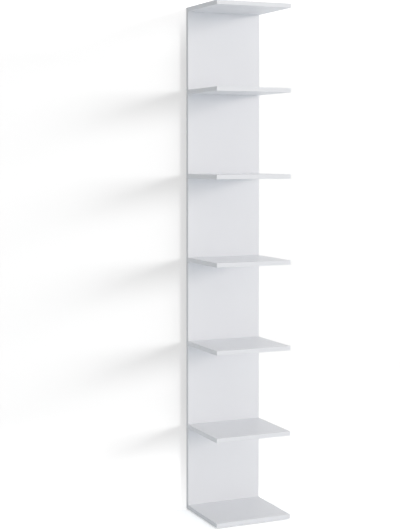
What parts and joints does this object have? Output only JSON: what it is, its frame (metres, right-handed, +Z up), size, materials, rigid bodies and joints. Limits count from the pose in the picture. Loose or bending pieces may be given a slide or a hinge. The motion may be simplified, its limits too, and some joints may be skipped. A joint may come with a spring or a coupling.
{
  "type": "bookcase",
  "caption": "Tall narrow open bookcase: plain white shelf boards cantilevered at even heights from one full-height back panel, on small glides, with a wall angle on top.",
  "frame": {"origin": "on the floor, under the middle of the footprint", "axes": "+Z up, +Y towards the wall behind the spine, the open side faces -Y, +X to the right seen from the open side"},
  "size_m": [0.3, 0.276, 1.929],
  "materials": {
    "board": "chipboard faced with white melamine film, satin, fine pearl texture, raw core where no band covers it",
    "edge_band": "white ABS edge band, satin, trimmed and scraped edges",
    "screw_steel": "bright zinc plated",
    "dowel_wood": "plain beech",
    "glide_plastic": "natural white polyethylene, matte",
    "angle_steel": "white powder coat, satin"
  },
  "bodies": {
    "root": {"spine_panel": "board", "spine_band_left": "edge_band", "spine_band_right": "edge_band", "spine_band_top": "edge_band", "shelf_1_board": "board", "shelf_1_band_front": "edge_band", "shelf_1_band_left": "edge_band", "shelf_1_band_right": "edge_band", "shelf_1_screws": "screw_steel", "shelf_1_dowels": "dowel_wood", "shelf_2_board": "board", "shelf_2_band_front": "edge_band", "shelf_2_band_left": "edge_band", "shelf_2_band_right": "edge_band", "shelf_2_screws": "screw_steel", "shelf_2_dowels": "dowel_wood", "shelf_3_board": "board", "shelf_3_band_front": "edge_band", "shelf_3_band_left": "edge_band", "shelf_3_band_right": "edge_band", "shelf_3_screws": "screw_steel", "shelf_3_dowels": "dowel_wood", "shelf_4_board": "board", "shelf_4_band_front": "edge_band", "shelf_4_band_left": "edge_band", "shelf_4_band_right": "edge_band", "shelf_4_screws": "screw_steel", "shelf_4_dowels": "dowel_wood", "shelf_5_board": "board", "shelf_5_band_front": "edge_band", "shelf_5_band_left": "edge_band", "shelf_5_band_right": "edge_band", "shelf_5_screws": "screw_steel", "shelf_5_dowels": "dowel_wood", "shelf_6_board": "board", "shelf_6_band_front": "edge_band", "shelf_6_band_left": "edge_band", "shelf_6_band_right": "edge_band", "shelf_6_screws": "screw_steel", "shelf_6_dowels": "dowel_wood", "shelf_7_board": "board", "shelf_7_band_front": "edge_band", "shelf_7_band_left": "edge_band", "shelf_7_band_right": "edge_band", "shelf_7_screws": "screw_steel", "shelf_7_dowels": "dowel_wood", "glide_front_left": "glide_plastic", "glide_front_right": "glide_plastic", "glide_rear_left": "glide_plastic", "glide_rear_right": "glide_plastic", "glide_nails": "screw_steel", "wall_angle": "angle_steel", "wall_angle_screws": "screw_steel"}
  },
  "joints": []
}
